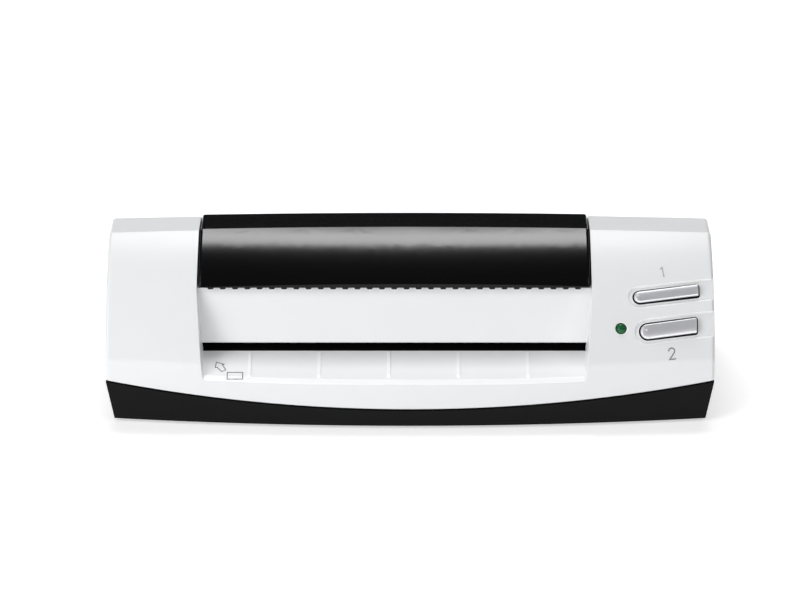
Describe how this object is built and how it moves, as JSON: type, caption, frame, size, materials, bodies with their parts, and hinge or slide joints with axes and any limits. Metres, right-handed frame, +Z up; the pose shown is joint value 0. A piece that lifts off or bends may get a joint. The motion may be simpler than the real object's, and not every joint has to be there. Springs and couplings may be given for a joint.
{
  "type": "business card scanner",
  "caption": "Portable sheet-fed card scanner with white end pods, a hinged glossy black cover, a recessed slot feeder and a black base.",
  "frame": {"origin": "middle of the footprint, on the surface that the rubber feet stand on", "axes": "+X to the right seen from the front, +Y to the back, +Z up; cards enter at -Y and leave at +Y"},
  "size_m": [0.174, 0.0672, 0.049],
  "materials": {
    "white_shell": "satin white moulded ABS",
    "black_base": "fine-textured black moulded ABS",
    "black_gloss": "polished black",
    "silver_key": "satin silver paint on plastic",
    "green_lamp": "clear tinted green",
    "rubber": "matt moulded rubber",
    "steel": "ground bright steel",
    "zinc_screw": "zinc plated",
    "gear_acetal": "natural acetal",
    "inner_black": "black moulded plastic",
    "inner_grey": "grey moulded plastic",
    "brass_bush": "sintered bronze",
    "board_green": "solder mask",
    "chip_black": "moulded chip packages",
    "sensor_glass": "float glass",
    "white_backing": "white backing film",
    "ribbon": "flat cable",
    "spring_steel": "spring steel"
  },
  "bodies": {
    "case": {"base_tray": "black_base", "board_screws": "zinc_screw", "bracket_screws": "zinc_screw", "case_screws": "zinc_screw", "chassis": "inner_grey", "chassis_screws": "zinc_screw", "flag_pin": "steel", "gate_board": "board_green", "gate_board_screws": "zinc_screw", "gear_bracket": "steel", "gear_studs": "steel", "hinge_pins": "steel", "key_board": "board_green", "key_board_screws": "zinc_screw", "key_switches": "chip_black", "lamp_leads": "steel", "light_gate": "chip_black", "main_board": "board_green", "main_board_parts": "chip_black", "motor_cable": "ribbon", "motor_can": "steel", "motor_screws": "zinc_screw", "rubber_feet": "rubber", "sensor_board": "board_green", "sensor_cable": "ribbon", "sensor_glass": "sensor_glass", "sensor_housing": "inner_black", "sensor_lens_bar": "white_backing", "sensor_springs": "spring_steel", "shaft_bushes": "brass_bush", "status_lamp": "green_lamp", "upper_casing": "white_shell", "usb_socket": "steel"},
    "cover": {"top_cover": "black_gloss", "cover_liner": "inner_black", "cover_screws": "zinc_screw", "pinch_springs": "spring_steel", "plate_springs": "spring_steel"},
    "front_pinch": {"front_pinch_axle": "steel", "front_pinch_rollers": "inner_grey"},
    "rear_pinch": {"rear_pinch_axle": "steel", "rear_pinch_rollers": "inner_grey"},
    "backing": {"pressure_plate": "white_backing"},
    "upper_key": {"upper_key": "silver_key"},
    "lower_key": {"lower_key": "silver_key"},
    "feed_roller": {"feed_shaft": "steel", "feed_rollers": "rubber", "feed_gear": "gear_acetal", "feed_clip": "spring_steel"},
    "exit_roller": {"exit_shaft": "steel", "exit_rollers": "rubber", "exit_gear": "gear_acetal", "exit_clip": "spring_steel"},
    "idler": {"idler_gear": "gear_acetal"},
    "compound": {"compound_gear": "gear_acetal"},
    "motor_rotor": {"motor_shaft": "steel", "motor_pinion": "brass_bush"},
    "flag": {"paper_flag": "inner_black"}
  },
  "joints": [
    {"name": "cover_hinge", "type": "hinge", "parent": "case", "child": "cover", "pos_m": [-0.0045, 0.024, 0.0292], "axis": [-1, 0, 0], "range_deg": [0, 70]},
    {"name": "front_pinch_spin", "type": "hinge", "parent": "cover", "child": "front_pinch", "pos_m": [-0.0045, -0.01, 0.0237], "axis": [1, 0, 0], "continuous": true},
    {"name": "rear_pinch_spin", "type": "hinge", "parent": "cover", "child": "rear_pinch", "pos_m": [-0.0045, 0.014, 0.0237], "axis": [1, 0, 0], "continuous": true},
    {"name": "backing_float", "type": "slide", "parent": "cover", "child": "backing", "axis": [0, 0, 1], "range_m": [0, 0.0005], "stiffness_N_per_m": 300, "springref_m": -0.001, "deforming": ["plate_springs"]},
    {"name": "upper_key_press", "type": "slide", "parent": "case", "child": "upper_key", "axis": [0, 0.6997, -0.7145], "range_m": [0, 0.0006], "stiffness_N_per_m": 1500, "springref_m": -0.0002},
    {"name": "lower_key_press", "type": "slide", "parent": "case", "child": "lower_key", "axis": [0, 0.8211, -0.5707], "range_m": [0, 0.0006], "stiffness_N_per_m": 1500, "springref_m": -0.0002},
    {"name": "feed_roller_spin", "type": "hinge", "parent": "case", "child": "feed_roller", "pos_m": [-0.0045, -0.01, 0.0152], "axis": [1, 0, 0], "continuous": true},
    {"name": "exit_roller_spin", "type": "hinge", "parent": "case", "child": "exit_roller", "pos_m": [-0.0045, 0.014, 0.0152], "axis": [1, 0, 0], "continuous": true},
    {"name": "idler_spin", "type": "hinge", "parent": "case", "child": "idler", "pos_m": [-0.0045, 0.002, 0.0152], "axis": [1, 0, 0], "continuous": true},
    {"name": "compound_spin", "type": "hinge", "parent": "case", "child": "compound", "pos_m": [-0.0045, 0.002, 0.0242], "axis": [1, 0, 0], "continuous": true},
    {"name": "motor_spin", "type": "hinge", "parent": "case", "child": "motor_rotor", "pos_m": [-0.0045, 0.01326, 0.0307], "axis": [1, 0, 0], "continuous": true},
    {"name": "flag_swing", "type": "hinge", "parent": "case", "child": "flag", "pos_m": [0.0135, -0.0152, 0.0156], "axis": [-1, 0, 0], "range_deg": [0, 45], "stiffness_Nm_per_rad": 0.0002, "springref_deg": -11.46}
  ],
  "couplings": [
    {"joint": "exit_roller_spin", "follows": "feed_roller_spin", "ratio": 1},
    {"joint": "idler_spin", "follows": "feed_roller_spin", "ratio": -1},
    {"joint": "compound_spin", "follows": "feed_roller_spin", "ratio": 2},
    {"joint": "motor_spin", "follows": "feed_roller_spin", "ratio": -6.6667}
  ]
}
